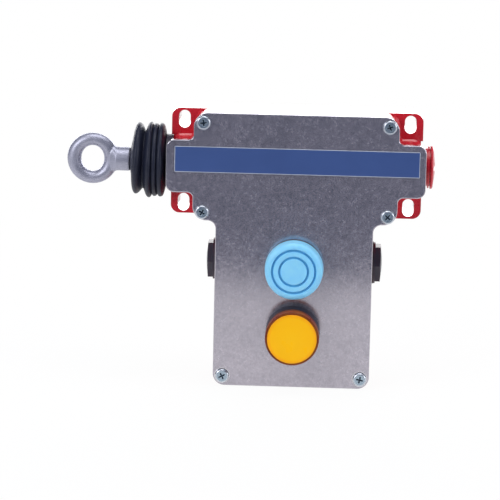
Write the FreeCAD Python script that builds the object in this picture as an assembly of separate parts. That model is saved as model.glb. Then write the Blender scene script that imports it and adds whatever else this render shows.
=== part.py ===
import FreeCAD, Part
import math
import os

# Rope pull switch. Sizes in millimetres. X runs to the right along the rope, +Z is up and the front
# faces -Y. The origin is on the rear mounting face, midway between the four mounting slots.

# Outline of the front: half height of the arms, and what the block, box and arms add to it and to the box
arm_half_height = 14.4
lug_height = 15.1
shoulder_width = 12.7
arm_length = 14.8
arm_corner_r = 4.5
block_top_r = 8.0
block_low_r = 7.5
box_corner_r = 6.5
notch_r = 3.0
shoulder_r = 4.5
least_corner_r = 0.6
corner_share = 0.6

# Casing, cover and gasket
rod_from_back = 22.5
front_room = 2.6
cover_thickness = 3.5
cover_edge_r = 0.6
casing_inset = 0.3
arm_setback = 2.8
wall = 3.0
back_wall = 4.0
gasket_land = 0.9
gasket_width = 2.0
gasket_thickness = 1.0
rear_edge_chamfer = 0.6

# Mounting lugs
lug_depth = 22.5
lug_setback = 1.7
lug_drop = 0.4
lug_corner_r = 4.8
lug_foot = 0.8
slot_from_lug_end = 7.0
slot_from_lug_top = 1.2
slot_from_arm = 4.0
slot_width = 6.3

# Cover screws, as distances in from the outline's sides and ends
screw_insets = {"top": (5.3, 5.4), "shoulder": (5.2, 4.7), "bottom": (5.1, 5.5)}
screw_head_r = 3.8
screw_head_height = 2.4
screw_head_round = 0.9
screw_r = 1.95
screw_length = 14.0
screw_hole_past = 1.0
spot_face_gap = 0.2
spot_face_depth = 0.5
boss_r = 4.2

# Name strip
label_left_inset = 4.7
label_right_inset = 3.4
label_low = 3.0
label_high = 11.0
label_thickness = 0.3
label_corner_r = 0.5

# Fits, small roundings, and how far a cutting tool runs past what it cuts
fit_gap = 0.05
screw_gap = 0.05
cover_hole_gap = 0.3
free_gap = 0.3
small_round = 0.5
tool_past = 1.0

# Pull rod and what rides on it
rod_r = 4.0
rod_travel = 12.0
rod_tail = 1.5
rod_chamfer = 0.6
eye_from_shank = 20.8
eye_outer_r = 14.0
eye_hole_r = 6.7
shank_r = 6.5
shank_chamfer = 0.6
shank_in_ring = 1.0
shank_socket = 10.0
eye_neck_inset = 5.0
eye_neck_past_hole = 1.6
eye_neck_depth = 0.75
nut_flats = 13.0
nut_thickness = 4.5
bush_wall = 3.0
right_bush_wall = 2.0
left_bush_length = 8.5
right_bush_x = 30.0
right_bush_length = 7.0
bush_boss_wall = 2.5
circlip_r = 6.5
circlip_thickness = 1.2

# Cam spool, trip lever and contact slider
spool_hub_r = 5.5
spool_flange_r = 9.0
spool_flange = 3.0
roller_r = 3.6
roller_length = 8.0
roller_pin_r = 1.5
lever_x = 0.5
lever_up = 30.0
lever_down = 12.0
lever_thickness = 3.0
lever_gap = 3.5
lever_top_half = 3.4
lever_top_round = 3.2
lever_hub_half = 6.5
lever_hub_round = 13.0
lever_hub_r = 5.5
lever_foot_half = 4.0
lever_foot_round = 3.8
pivot_r = 2.5
pivot_head_r = 4.2
pivot_head = 1.5
drive_pin_r = 2.0
slider_half_length = 26.0
slider_half_height = 3.0
slider_thickness = 4.0
slider_pad_half = 6.5
slider_pad_half_width = 5.0
drive_slot_half = 3.6

# Return spring of the rod
spring_mean_r = 6.8
spring_wire_r = 0.9
spring_turns = 6
spring_seat_x = 20.0
spring_seat_r = 9.0
spring_seat_thickness = 2.0

# Bellows: its end face, crests and roots as (distance right of the shank's end, radius)
bellows_face = ((0.8, 11.0), (1.5, 16.2))
bellows_crests = ((3.6, 19.6), (10.7, 20.8), (13.65, 20.0), (16.9, 20.2))
bellows_roots = ((7.6, 16.2), (12.15, 18.9), (15.15, 18.8))
bellows_face_round = 2.0
bellows_first_round = 1.5
bellows_crest_round = 0.6
bellows_root_round = 0.25
bellows_lip = 1.5
bellows_lip_r = 7.6
bellows_wall = 1.3
bellows_radial_wall = 2.1
bellows_foot_step = 1.0
bellows_length = 20.0
collar_width = 3.5
collar_flange = 2.3
collar_rim = 0.6

# End cap
cap_r = 12.05
cap_thickness = 2.6
cap_dome = 1.2
cap_dome_round = 20.0
cap_flat_r = 3.0
cap_rim_round = 1.2
cap_neck_r = 10.5
cap_neck = 4.0
cap_flange_r = 11.6
cap_flange = 0.8
cap_groove = 0.6
cap_thread_r = 9.0
cap_thread_chamfer = 0.8
cap_boss = 6.5
cap_slot_width = 2.5
cap_slot_half = 9.0
cap_slot_depth = 1.8

# Cable entries
entry_z = 54.0
entry_r = 10.0
entry_boss_wall = 3.5
entry_boss = 8.0
plug_flange_r = 11.4
plug_flange = 1.1
plug_washer = 0.9
plug_washer_rim = 0.2
plug_flats = 19.0
plug_hex = 3.6
plug_dome = 0.85
plug_dome_round = 45.0
plug_dome_flat_r = 3.0
plug_thread = 9.0

# Mechanism plate, contact blocks and earth terminal
plate_to_wall = 7.3
plate_top = 17.0
plate_below_blocks = 9.1
plate_thickness = 2.0
plate_corner_r = 3.0
plate_screw_inset = 5.0
small_head_r = 3.4
small_head = 2.2
small_screw_depth = 3.0
block_gap = 9.5
block_width = 21.0
block_to_entry = 3.5
block_height = 22.0
block_depth = 15.0
block_wall = 1.5
block_corner_r = 1.2
terminal_inset = 4.4
terminal_screw_r = 1.25
terminal_head_r = 2.4
terminal_head = 1.6
terminal_depth = 6.0
earth_x = 25.0
earth_z = 84.0
earth_boss_r = 5.0
earth_boss = 4.0
earth_washer_r = 4.6
earth_washer = 0.8

# Operators in the cover, from the block's lower edge downwards
operator_x = 0.5
operator_r = 11.0
operator_depth = 14.0
operator_nut_r = 14.2
operator_nut = 4.0
reset_below_block = 24.6
operator_gap = 5.6
box_below_light = 31.0

# Reset button
reset_flange_r = 15.5
reset_flange = 2.0
stem_r = 6.0
stem_foot_round = 1.0
button_head_r = 10.6
button_head = 2.8
button_rise = 7.4
spring_bore_r = 9.6
spring_bore_depth = 8.0
stem_tail = 3.0
clip_r = 8.5
clip_thickness = 1.0
clip_fit = 0.01
clip_gap = 0.2
reset_spring_mean_r = 7.8
reset_spring_wire_r = 0.7
reset_spring_turns = 5

# Boot over the reset button: heights are above the button's flange
boot_lean = 0.3
boot_foot_r = 15.0
boot_swell_height = 1.9
boot_swell_round = 1.5
boot_rim_width = 3.25
boot_face_round = 2.6
boot_rim_share = 0.8
boot_face_wall = 2.2
boot_groove_r = 11.65
boot_inner_groove_r = 7.75
boot_groove_half = 0.7
boot_groove_floor_half = 0.3
boot_groove_depth = 1.1
boot_groove_round = 0.3
boot_wall = 1.3
boot_inner_round = 1.5

# Pilot light
bezel_r = 14.7
bezel_height = 9.5
bezel_bore_r = 9.0
lens_r = 14.6
lens_rim = 1.2
lens_height = 9.2
lens_step = 0.4
lens_rim_round = 0.6
lens_face_round = 0.25
lens_wall = 1.6
holder_r = 10.5
holder_length = 12.0
holder_top = 2.0
lamp_r = 4.5
lamp_dome_r = 4.3
lamp_height = 13.0

mirror_sides = (-1, 1)

# The box is as wide as the contact blocks and cable entries need
box_half_width = lever_x + block_gap + block_width + block_to_entry + entry_boss + casing_inset
block_half_width = box_half_width + shoulder_width
arm_reach = block_half_width + arm_length
casing_end_x = arm_reach - arm_setback
lug_reach = arm_reach - lug_setback
slot_x = lug_reach - slot_from_lug_end
shank_end = casing_end_x + collar_width + bellows_length
eye_centre = shank_end + eye_from_shank
entry_wall_x = box_half_width - casing_inset

# Heights above and depths below the rope line
block_half_height = arm_half_height + lug_height
casing_top = block_half_height - casing_inset
lug_half_height = block_half_height - lug_drop
slot_low = arm_half_height - casing_inset + slot_from_arm
slot_high = lug_half_height - slot_from_lug_top
slot_z = (slot_low + slot_high) / 2
slot_length = slot_high - slot_low
reset_z = block_half_height + reset_below_block
lens_z = reset_z + reset_flange_r + operator_gap + bezel_r
box_bottom = lens_z + box_below_light

# Planes from the rear face to the front
floor_y = -back_wall
rod_y = -rod_from_back
rim_y = rod_y - arm_half_height - front_room
front_y = rim_y - cover_thickness

# Radii that follow from others
bush_r = rod_r + bush_wall
right_bush_r = rod_r + right_bush_wall
collar_r = arm_half_height - casing_inset - free_gap
boot_face_r = boot_groove_r + boot_groove_half + boot_rim_width
boot_r = boot_face_r + boot_lean
lens_face_r = lens_r - lens_rim


def vec(x, y, z):
    return FreeCAD.Vector(x, y, z)


def rounded_wire(corners, place):
    """Closed wire through (u, v, radius) corners, each rounded by an arc; place turns u, v into a point."""
    count = len(corners)
    starts = []
    ends = []
    edges = []
    for i, (u, v, radius) in enumerate(corners):
        before = FreeCAD.Vector(*corners[i - 1][:2])
        after = FreeCAD.Vector(*corners[(i + 1) % count][:2])
        here = FreeCAD.Vector(u, v)
        to_before = (before - here).normalize()
        to_after = (after - here).normalize()
        if radius <= 0:
            starts.append(here)
            ends.append(here)
            continue
        half = to_before.getAngle(to_after) / 2
        inward = (to_before + to_after).normalize()
        reach = radius / math.tan(half)
        start = here + to_before * reach
        end = here + to_after * reach
        middle = here + inward * (radius / math.sin(half) - radius)
        starts.append(start)
        ends.append(end)
        points = [place(p.x, p.y) for p in (start, middle, end)]
        edges.append((i, Part.Arc(*points).toShape()))
    arcs = dict(edges)
    chain = []
    for i in range(count):
        if i in arcs:
            chain.append(arcs[i])
        a = ends[i]
        b = starts[(i + 1) % count]
        if a.distanceToPoint(b) > 1e-6:
            chain.append(Part.makeLine(place(a.x, a.y), place(b.x, b.y)))
    return Part.Wire(chain)


def front_plate(corners, y_rear, y_front):
    """Outline in X and Z, drawn out along Y."""
    wire = rounded_wire(corners, lambda u, v: vec(u, y_rear, v))
    return Part.Face(wire).extrude(vec(0, y_front - y_rear, 0))


def box(x0, x1, y0, y1, z0, z1):
    low = vec(min(x0, x1), min(y0, y1), min(z0, z1))
    return Part.makeBox(abs(x1 - x0), abs(y1 - y0), abs(z1 - z0), low)


def rod_along_x(radius, x0, x1, y=rod_y, z=0.0):
    return Part.makeCylinder(radius, abs(x1 - x0), vec(min(x0, x1), y, z), vec(1, 0, 0))


def rod_along_y(radius, x, z, y0, y1):
    return Part.makeCylinder(radius, abs(y1 - y0), vec(x, min(y0, y1), z), vec(0, 1, 0))


def tube_along_x(outer, inner, x0, x1, y=rod_y, z=0.0):
    return rod_along_x(outer, x0, x1, y, z).cut(rod_along_x(inner, x0, x1, y, z))


def tube_along_y(outer, inner, x, z, y0, y1):
    return rod_along_y(outer, x, z, y0, y1).cut(rod_along_y(inner, x, z, y0, y1))


def turned_along_x(corners, y=rod_y, z=0.0):
    """Solid of revolution about a line along X, from (x, radius, rounding) corners."""
    wire = rounded_wire(corners, lambda u, v: vec(u, y, z + v))
    return Part.Face(wire).revolve(vec(0, y, z), vec(1, 0, 0), 360)


def turned_on_cover(corners, x, z):
    """Solid of revolution on the cover, from (radius, height above the cover's front, rounding) corners."""
    wire = rounded_wire(corners, lambda u, v: vec(x + u, front_y - v, z))
    return Part.Face(wire).revolve(vec(x, 0, z), vec(0, 1, 0), 360)


def hex_along_x(flats, x0, x1, y=rod_y, z=0.0):
    """Hexagon bar with flats on top and underneath."""
    corner = flats / math.sqrt(3)
    points = [
        vec(x0, y + corner * math.cos(math.radians(60 * k)), z + corner * math.sin(math.radians(60 * k)))
        for k in range(7)
    ]
    return Part.Face(Part.makePolygon(points)).extrude(vec(x1 - x0, 0, 0))


def slot_along_z(x, z, width, length, y0, y1):
    """Upright slot with round ends; length is from end to end."""
    radius = width / 2
    run = length / 2 - radius
    ends = [rod_along_y(radius, x, z + shift, y0, y1) for shift in (-run, run)]
    return fused([box(x - radius, x + radius, y0, y1, z - run, z + run)] + ends)


def coil(mean_r, wire_r, turns, length):
    """Compression spring along +Z from the origin, its wire's centre line length long."""
    path = Part.makeHelix(length / turns, length, mean_r)
    section = Part.Wire(Part.makeCircle(wire_r, vec(mean_r, 0, 0), vec(0, 1, 0)))
    return Part.Wire(path.Edges).makePipeShell([section], True, True)


def fused(shapes):
    whole = shapes[0]
    for shape in shapes[1:]:
        whole = whole.fuse(shape)
    return whole.removeSplitter()


def cut_all(shape, tools):
    for tool in tools:
        shape = shape.cut(tool)
    return shape


def outline(inset, reach=arm_reach):
    """The T-shaped outline, moved in by inset all round."""
    arm_x = reach - inset
    arm_z = arm_half_height - inset
    block_x = block_half_width - inset
    block_z = block_half_height - inset
    box_x = box_half_width - inset
    low = box_bottom - inset

    def convex(radius):
        return max(radius - inset, least_corner_r)

    right = [
        (block_x, block_z, convex(block_top_r)),
        (block_x, arm_z, notch_r + inset),
        (arm_x, arm_z, convex(arm_corner_r)),
        (arm_x, -arm_z, convex(arm_corner_r)),
        (block_x, -arm_z, notch_r + inset),
        (block_x, -block_z, convex(min(block_low_r, corner_share * shoulder_width))),
        (box_x, -block_z, min(shoulder_r, (1 - corner_share) * shoulder_width) + inset),
        (box_x, -low, convex(box_corner_r)),
    ]
    left = [(-x, z, r) for x, z, r in reversed(right)]
    return right + left


def casing_outline(inset):
    return outline(casing_inset + inset, arm_reach - arm_setback + casing_inset)


def cover_screw_places():
    top = screw_insets["top"]
    shoulder = screw_insets["shoulder"]
    bottom = screw_insets["bottom"]
    half = [
        (block_half_width - top[0], block_half_height - top[1]),
        (block_half_width - shoulder[0], -(block_half_height - shoulder[1])),
        (box_half_width - bottom[0], -(box_bottom - bottom[1])),
    ]
    return [(side * x, z) for x, z in half for side in mirror_sides]


def lug(side, level, y_rear, y_front):
    inner_x = side * (block_half_width - wall)
    end_x = side * casing_end_x
    outer_x = side * lug_reach
    inner_z = level * (arm_half_height - wall)
    arm_z = level * (arm_half_height - casing_inset)
    outer_z = level * lug_half_height
    corners = [
        (inner_x, inner_z, 0),
        (end_x, inner_z, 0),
        (end_x, arm_z, 0),
        (outer_x, arm_z, 0),
        (outer_x, outer_z, lug_corner_r),
        (inner_x, outer_z, 0),
    ]
    return front_plate(corners, y_rear, y_front)


left_bush_inner_x = casing_end_x - left_bush_length
pillar_half = right_bush_r + bush_boss_wall


def edges_at(shape, y):
    """Edges that lie in the plane Y = y."""
    return [e for e in shape.Edges if abs(e.BoundBox.YMax - y) < 1e-4 and e.BoundBox.YLength < 1e-4]


def lug_foot_band():
    """Sloping band around the casing, in front of the lugs, that widens towards them."""
    foot_y = -lug_depth - lug_foot
    wide = rounded_wire(casing_outline(-lug_foot), lambda u, v: vec(u, -lug_depth, v))
    narrow = rounded_wire(casing_outline(0), lambda u, v: vec(u, foot_y, v))
    return Part.makeLoft([wide, narrow], True, True)


def make_outer_casing():
    pieces = [front_plate(casing_outline(0), 0.0, rim_y)]
    band = lug_foot_band()
    for side in mirror_sides:
        for level in mirror_sides:
            pieces.append(lug(side, level, 0.0, -lug_depth))
            pieces.append(band.common(lug(side, level, -lug_depth, -lug_depth - lug_foot)))
    level_with_lugs = box(
        -block_half_width, block_half_width, tool_past, -lug_depth, lug_half_height, casing_top + tool_past
    )
    outer = fused(pieces).cut(level_with_lugs)
    return outer.makeChamfer(rear_edge_chamfer, edges_at(outer, 0.0))


def make_housing():
    outer = make_outer_casing()
    cavity = front_plate(casing_outline(wall), floor_y, rim_y)
    casing = outer.cut(cavity)
    bosses = [rod_along_y(boss_r, x, z, 0.0, rim_y) for x, z in cover_screw_places()]
    left_boss = rod_along_x(bush_r + bush_boss_wall, -casing_end_x, -left_bush_inner_x)
    right_boss = rod_along_x(cap_thread_r + bush_boss_wall, casing_end_x - cap_boss, casing_end_x)
    pillar = box(
        right_bush_x, right_bush_x + right_bush_length, 0.0, rod_y - pillar_half, -pillar_half, pillar_half
    )
    entries = []
    for side in mirror_sides:
        inner_x = side * (entry_wall_x - entry_boss)
        wall_x = side * entry_wall_x
        entries.append(rod_along_x(entry_r + entry_boss_wall, inner_x, wall_x, rod_y, -entry_z))
    earth = rod_along_y(earth_boss_r, -earth_x, -earth_z, 0.0, floor_y - earth_boss)
    inner = fused(bosses + [left_boss, right_boss, pillar, earth] + entries).common(outer)
    casing = fused([casing, inner])
    rebate = front_plate(casing_outline(gasket_land), rim_y + gasket_thickness, rim_y)
    inside = front_plate(casing_outline(wall), rim_y + gasket_thickness, rim_y)
    tools = [rebate.cut(inside)]
    for x, z in cover_screw_places():
        tools.append(rod_along_y(screw_r + screw_gap, x, z, rim_y, rim_y + screw_length))
    tools.append(rod_along_x(bush_r + fit_gap, -casing_end_x, -left_bush_inner_x))
    tools.append(rod_along_x(cap_thread_r + fit_gap, casing_end_x - cap_boss, casing_end_x))
    tools.append(rod_along_x(right_bush_r + fit_gap, right_bush_x, right_bush_x + right_bush_length))
    for side in mirror_sides:
        inner_x = side * (entry_wall_x - entry_boss)
        tools.append(rod_along_x(entry_r + fit_gap, inner_x, side * entry_wall_x, rod_y, -entry_z))
        for z in (-slot_z, slot_z):
            front = -lug_depth - tool_past
            tools.append(slot_along_z(side * slot_x, z, slot_width, slot_length, tool_past, front))
    for x, z in plate_screw_places():
        tools.append(rod_along_y(screw_r + screw_gap, x, z, floor_y, floor_y + small_screw_depth))
    earth_top = floor_y - earth_boss
    tools.append(rod_along_y(screw_r + screw_gap, -earth_x, -earth_z, earth_top, floor_y))
    return cut_all(casing, tools)


def make_cover_plate():
    plate = front_plate(outline(0), rim_y, front_y)
    plate = plate.makeFillet(cover_edge_r, edges_at(plate, front_y))
    tools = []
    for x, z in cover_screw_places():
        tools.append(rod_along_y(screw_r + cover_hole_gap, x, z, front_y, rim_y))
        face_r = screw_head_r + spot_face_gap
        tools.append(rod_along_y(face_r, x, z, front_y, front_y + spot_face_depth))
    for z in (reset_z, lens_z):
        tools.append(rod_along_y(operator_r + cover_hole_gap, operator_x, -z, front_y, rim_y))
    return cut_all(plate, tools)


def make_cover_gasket():
    top = rim_y
    under = rim_y + gasket_thickness
    ring = front_plate(casing_outline(gasket_land), under, top)
    ring = ring.cut(front_plate(casing_outline(gasket_land + gasket_width), under, top))
    holes = [rod_along_y(screw_r + cover_hole_gap, x, z, under, top) for x, z in cover_screw_places()]
    return cut_all(ring, holes)


def pan_head_screw(x, z, seat_y, head_r, head, head_round, length):
    """Pan-head screw facing the front, its head's underside at seat_y."""
    corners = [
        (0, seat_y + length, 0),
        (screw_r, seat_y + length, 0),
        (screw_r, seat_y, 0),
        (head_r, seat_y, 0),
        (head_r, seat_y - head, head_round),
        (0, seat_y - head, 0),
    ]
    wire = rounded_wire(corners, lambda u, v: vec(x + u, v, z))
    return Part.Face(wire).revolve(vec(x, 0, z), vec(0, 1, 0), 360)


def make_cover_screws():
    seat = front_y + spot_face_depth
    length = rim_y + screw_length - screw_hole_past - seat
    return Part.Compound(
        [
            pan_head_screw(x, z, seat, screw_head_r, screw_head_height, screw_head_round, length)
            for x, z in cover_screw_places()
        ]
    )


def make_label_strip():
    left = label_left_inset - arm_reach
    right = arm_reach - label_right_inset
    corners = [
        (left, -label_low, label_corner_r),
        (right, -label_low, label_corner_r),
        (right, label_high, label_corner_r),
        (left, label_high, label_corner_r),
    ]
    return front_plate(corners, front_y, front_y - label_thickness)


def make_eyebolt():
    section_r = (eye_outer_r - eye_hole_r) / 2
    ring_r = eye_hole_r + section_r
    ring = Part.makeTorus(ring_r, section_r, vec(-eye_centre, rod_y, 0), vec(0, 1, 0))
    neck_x = eye_centre - eye_hole_r - eye_neck_past_hole
    shank_x = eye_centre - eye_outer_r + shank_in_ring
    shank = rod_along_x(shank_r, -shank_x, -shank_end)
    at_shank = Part.Wire(Part.makeCircle(shank_r, vec(-shank_x, rod_y, 0), vec(1, 0, 0)))
    neck_y = rod_y + section_r * eye_neck_depth
    centre = vec(-neck_x, rod_y, 0)
    neck_top = eye_outer_r - eye_neck_inset
    ellipse = Part.Ellipse(vec(-neck_x, rod_y, neck_top), vec(-neck_x, neck_y, 0), centre)
    at_ring = Part.Wire(ellipse.toShape())
    neck = Part.makeLoft([at_shank, at_ring], True)
    bolt = fused([ring, neck, shank])
    end = [e for e in bolt.Edges if abs(e.BoundBox.XMax + shank_end) < 1e-4 and e.BoundBox.XLength < 1e-4]
    bolt = bolt.makeChamfer(shank_chamfer, end)
    socket = rod_along_x(rod_r + fit_gap, -shank_end - shank_socket, -shank_end)
    return bolt.cut(socket)


lip_right_x = shank_end - bellows_lip
nut_left_x = lip_right_x - fit_gap


def make_eyebolt_nut():
    nut = hex_along_x(nut_flats, -nut_left_x, -nut_left_x + nut_thickness)
    return nut.cut(rod_along_x(rod_r + fit_gap, -nut_left_x, -nut_left_x + nut_thickness))


rod_left_x = -shank_end - shank_socket + free_gap
circlip_x = right_bush_x + right_bush_length + rod_travel + free_gap
rod_right_x = circlip_x + circlip_thickness + rod_tail


def make_pull_rod():
    rod = rod_along_x(rod_r, rod_left_x, rod_right_x)
    ends = [e for e in rod.Edges if e.Curve.TypeId == "Part::GeomCircle"]
    return rod.makeChamfer(rod_chamfer, ends)


lever_half_swing = math.asin(rod_travel / 2 / lever_up)
pivot_z = -(spool_hub_r + free_gap + roller_r) - lever_up
rest_roller_x = lever_x + rod_travel / 2
rest_drive_x = lever_x - lever_down * math.sin(lever_half_swing)
drive_z = pivot_z - lever_down
lever_rear_y = floor_y - plate_thickness - lever_gap
lever_front_y = lever_rear_y - lever_thickness
plate_front_y = floor_y - plate_thickness
block_low_z = drive_z - block_height / 2
block_high_z = drive_z + block_height / 2
block_front_y = plate_front_y - block_depth
plate_half_width = entry_wall_x - wall - plate_to_wall
plate_low_z = block_low_z - plate_below_blocks


def make_cam_spool():
    half = roller_r + free_gap
    core = rod_along_x(spool_hub_r, rest_roller_x - half, rest_roller_x + half)
    left = rod_along_x(spool_flange_r, rest_roller_x - half - spool_flange, rest_roller_x - half)
    right = rod_along_x(spool_flange_r, rest_roller_x + half, rest_roller_x + half + spool_flange)
    bore = rod_along_x(
        rod_r + fit_gap, rest_roller_x - half - spool_flange, rest_roller_x + half + spool_flange
    )
    return fused([core, left, right]).cut(bore)


def make_spring_seat():
    return tube_along_x(
        spring_seat_r, rod_r + fit_gap, -spring_seat_x - spring_seat_thickness, -spring_seat_x
    )


def make_rod_circlip():
    return tube_along_x(circlip_r, rod_r + fit_gap, circlip_x, circlip_x + circlip_thickness)


def make_rod_spring():
    low = -left_bush_inner_x + spring_wire_r + fit_gap
    high = -spring_seat_x - spring_seat_thickness - spring_wire_r - fit_gap
    spring = coil(spring_mean_r, spring_wire_r, spring_turns, high - low)
    spring.rotate(vec(0, 0, 0), vec(0, 1, 0), 90)
    spring.translate(vec(low, rod_y, 0))
    return spring


def make_rod_bush_left():
    return tube_along_x(bush_r, rod_r + fit_gap, -casing_end_x, -left_bush_inner_x)


def make_rod_bush_right():
    return tube_along_x(right_bush_r, rod_r + fit_gap, right_bush_x, right_bush_x + right_bush_length)


def make_bellows():
    foot_x = -(casing_end_x + collar_width)
    face = [(x - shank_end, r) for x, r in bellows_face]
    crests = [(x - shank_end, r) for x, r in bellows_crests]
    roots = [(x - shank_end, r) for x, r in bellows_roots]
    outer = [(*point, bellows_face_round) for point in face]
    outer.append((*crests[0], bellows_first_round))
    for root, crest in zip(roots, crests[1:]):
        outer.append((*root, bellows_root_round))
        outer.append((*crest, bellows_crest_round))
    inner = [(x + bellows_wall, r - bellows_wall / 2, 0) for x, r in face]
    inner += [(x, r - bellows_radial_wall, 0) for x, r, rounding in outer[len(face):]]
    foot_r = collar_r - bellows_foot_step
    ends = [(foot_x, foot_r, 0), (foot_x, foot_r - bellows_radial_wall, 0)]
    lip = [
        (-lip_right_x, bellows_lip_r, 0),
        (-lip_right_x, rod_r + fit_gap, 0),
        (-shank_end, rod_r + fit_gap, 0),
        (-shank_end, bellows_lip_r, 0),
    ]
    return turned_along_x(outer + ends + inner[::-1] + lip)


def make_bellows_collar():
    x0 = -casing_end_x - collar_width
    neck = rod_along_x(collar_r, x0, -casing_end_x)
    flange = rod_along_x(collar_r + collar_rim, x0, x0 + collar_flange)
    return fused([neck, flange]).cut(rod_along_x(rod_r + 2 * free_gap, x0, -casing_end_x))


def make_end_cap():
    x0 = casing_end_x - cap_boss + free_gap
    flange_x = casing_end_x + cap_neck
    groove_x = flange_x + cap_flange
    disc_x = groove_x + cap_groove
    end_x = disc_x + cap_thickness
    corners = [
        (x0, 0, 0),
        (x0, cap_thread_r, cap_thread_chamfer),
        (casing_end_x, cap_thread_r, 0),
        (casing_end_x, cap_neck_r, 0),
        (flange_x, cap_neck_r, 0),
        (flange_x, cap_flange_r, 0),
        (groove_x, cap_flange_r, 0),
        (groove_x, cap_neck_r, 0),
        (disc_x, cap_neck_r, 0),
        (disc_x, cap_r, small_round),
        (end_x - cap_dome, cap_r, cap_rim_round),
        (end_x, cap_flat_r, cap_dome_round),
        (end_x, 0, 0),
    ]
    cap = turned_along_x(corners)
    half = cap_slot_width / 2
    slot = box(
        end_x - cap_slot_depth, end_x + tool_past, rod_y - cap_slot_half, rod_y + cap_slot_half, -half, half
    )
    return cap.cut(slot)


def make_cable_plug(side):
    wall_x = entry_wall_x
    x0 = wall_x + plug_washer
    x1 = x0 + plug_flange
    thread = rod_along_x(entry_r, side * (wall_x - plug_thread), side * x0, rod_y, -entry_z)
    flange = rod_along_x(plug_flange_r, side * x0, side * x1, rod_y, -entry_z)
    x2 = x1 + plug_hex
    head = hex_along_x(plug_flats, side * x1, side * x2, rod_y, -entry_z)
    corner_r = plug_flats / math.sqrt(3)
    corners = [
        (side * x1, 0, 0),
        (side * x1, corner_r, 0),
        (side * (x2 - plug_dome), corner_r, 0),
        (side * x2, plug_dome_flat_r, plug_dome_round),
        (side * x2, 0, 0),
    ]
    dome = turned_along_x(corners, rod_y, -entry_z)
    return fused([thread, flange, head.common(dome)])


def make_plug_washers():
    outer = plug_flange_r + plug_washer_rim
    x0 = entry_wall_x
    x1 = entry_wall_x + plug_washer
    return Part.Compound(
        [
            tube_along_x(outer, entry_r + fit_gap, side * x0, side * x1, rod_y, -entry_z)
            for side in mirror_sides
        ]
    )


def plate_screw_places():
    x = plate_half_width - plate_screw_inset
    high = -plate_top - plate_screw_inset
    low = plate_low_z + plate_screw_inset
    return [(side * x, z) for side in mirror_sides for z in (high, low)]


def make_mechanism_plate():
    half = plate_half_width
    corners = [
        (half, -plate_top, plate_corner_r),
        (half, plate_low_z, plate_corner_r),
        (-half, plate_low_z, plate_corner_r),
        (-half, -plate_top, plate_corner_r),
    ]
    plate = front_plate(corners, floor_y, plate_front_y)
    hole_r = screw_r + cover_hole_gap
    tools = [rod_along_y(hole_r, x, z, floor_y, plate_front_y) for x, z in plate_screw_places()]
    tools.append(rod_along_y(pivot_r + fit_gap, lever_x, pivot_z, floor_y, plate_front_y))
    return cut_all(plate, tools)


def make_plate_screws():
    length = plate_thickness + small_screw_depth - free_gap
    return Part.Compound(
        [
            pan_head_screw(x, z, plate_front_y, small_head_r, small_head, screw_head_round, length)
            for x, z in plate_screw_places()
        ]
    )


def make_lever_pin():
    head_y = lever_front_y - free_gap
    pin = rod_along_y(pivot_r, lever_x, pivot_z, floor_y, head_y)
    head = rod_along_y(pivot_head_r, lever_x, pivot_z, head_y, head_y - pivot_head)
    return fused([pin, head])


def swung(shape):
    """Turns a shape drawn with the lever upright to where it is with the rod fully home."""
    shape = shape.copy()
    shape.rotate(vec(lever_x, 0, pivot_z), vec(0, 1, 0), math.degrees(lever_half_swing))
    return shape


def make_trip_lever():
    top = pivot_z + lever_up
    foot = pivot_z - lever_down
    corners = [
        (lever_x - lever_top_half, top + lever_top_half, lever_top_round),
        (lever_x + lever_top_half, top + lever_top_half, lever_top_round),
        (lever_x + lever_hub_half, pivot_z, lever_hub_round),
        (lever_x + lever_foot_half, foot - lever_foot_half, lever_foot_round),
        (lever_x - lever_foot_half, foot - lever_foot_half, lever_foot_round),
        (lever_x - lever_hub_half, pivot_z, lever_hub_round),
    ]
    plate = front_plate(corners, lever_rear_y, lever_front_y)
    hub = rod_along_y(lever_hub_r, lever_x, pivot_z, plate_front_y - free_gap, lever_rear_y)
    roller_pin = rod_along_y(
        roller_pin_r, lever_x, top, lever_front_y, rod_y - roller_length / 2 - 2 * free_gap
    )
    drive_pin = rod_along_y(drive_pin_r, lever_x, foot, lever_front_y, slider_front_y() - free_gap)
    lever = fused([plate, hub, roller_pin, drive_pin])
    bore = rod_along_y(pivot_r + fit_gap, lever_x, pivot_z, plate_front_y, lever_front_y)
    return swung(lever.cut(bore))


def make_lever_roller():
    half = roller_length / 2
    roller = tube_along_y(
        roller_r, roller_pin_r + fit_gap, lever_x, pivot_z + lever_up, rod_y - half, rod_y + half
    )
    return swung(roller)


def slider_rear_y():
    return lever_front_y - 2 * free_gap


def slider_front_y():
    return slider_rear_y() - slider_thickness


def make_contact_slider():
    bar = box(
        rest_drive_x - slider_half_length,
        rest_drive_x + slider_half_length,
        slider_rear_y(),
        slider_front_y(),
        drive_z - slider_half_height,
        drive_z + slider_half_height,
    )
    pad = box(
        rest_drive_x - slider_pad_half_width,
        rest_drive_x + slider_pad_half_width,
        slider_rear_y(),
        slider_front_y(),
        drive_z - slider_pad_half,
        drive_z + slider_pad_half,
    )
    width = 2 * (drive_pin_r + free_gap)
    rear = slider_rear_y() + tool_past
    front = slider_front_y() - tool_past
    slot = slot_along_z(rest_drive_x, drive_z, width, 2 * drive_slot_half, rear, front)
    return fused([bar, pad]).cut(slot)


def block_x(side, along):
    """Place along a contact block, from its inner face outwards."""
    return lever_x + side * (block_gap + along)


def terminal_places(side):
    return [
        (block_x(side, along), z)
        for along in (terminal_inset, block_width - terminal_inset)
        for z in (block_low_z + terminal_inset, block_high_z - terminal_inset)
    ]


def block_screw_places(side):
    middle = block_x(side, block_width / 2)
    return [(middle, block_low_z + terminal_inset), (middle, block_high_z - terminal_inset)]


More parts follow.
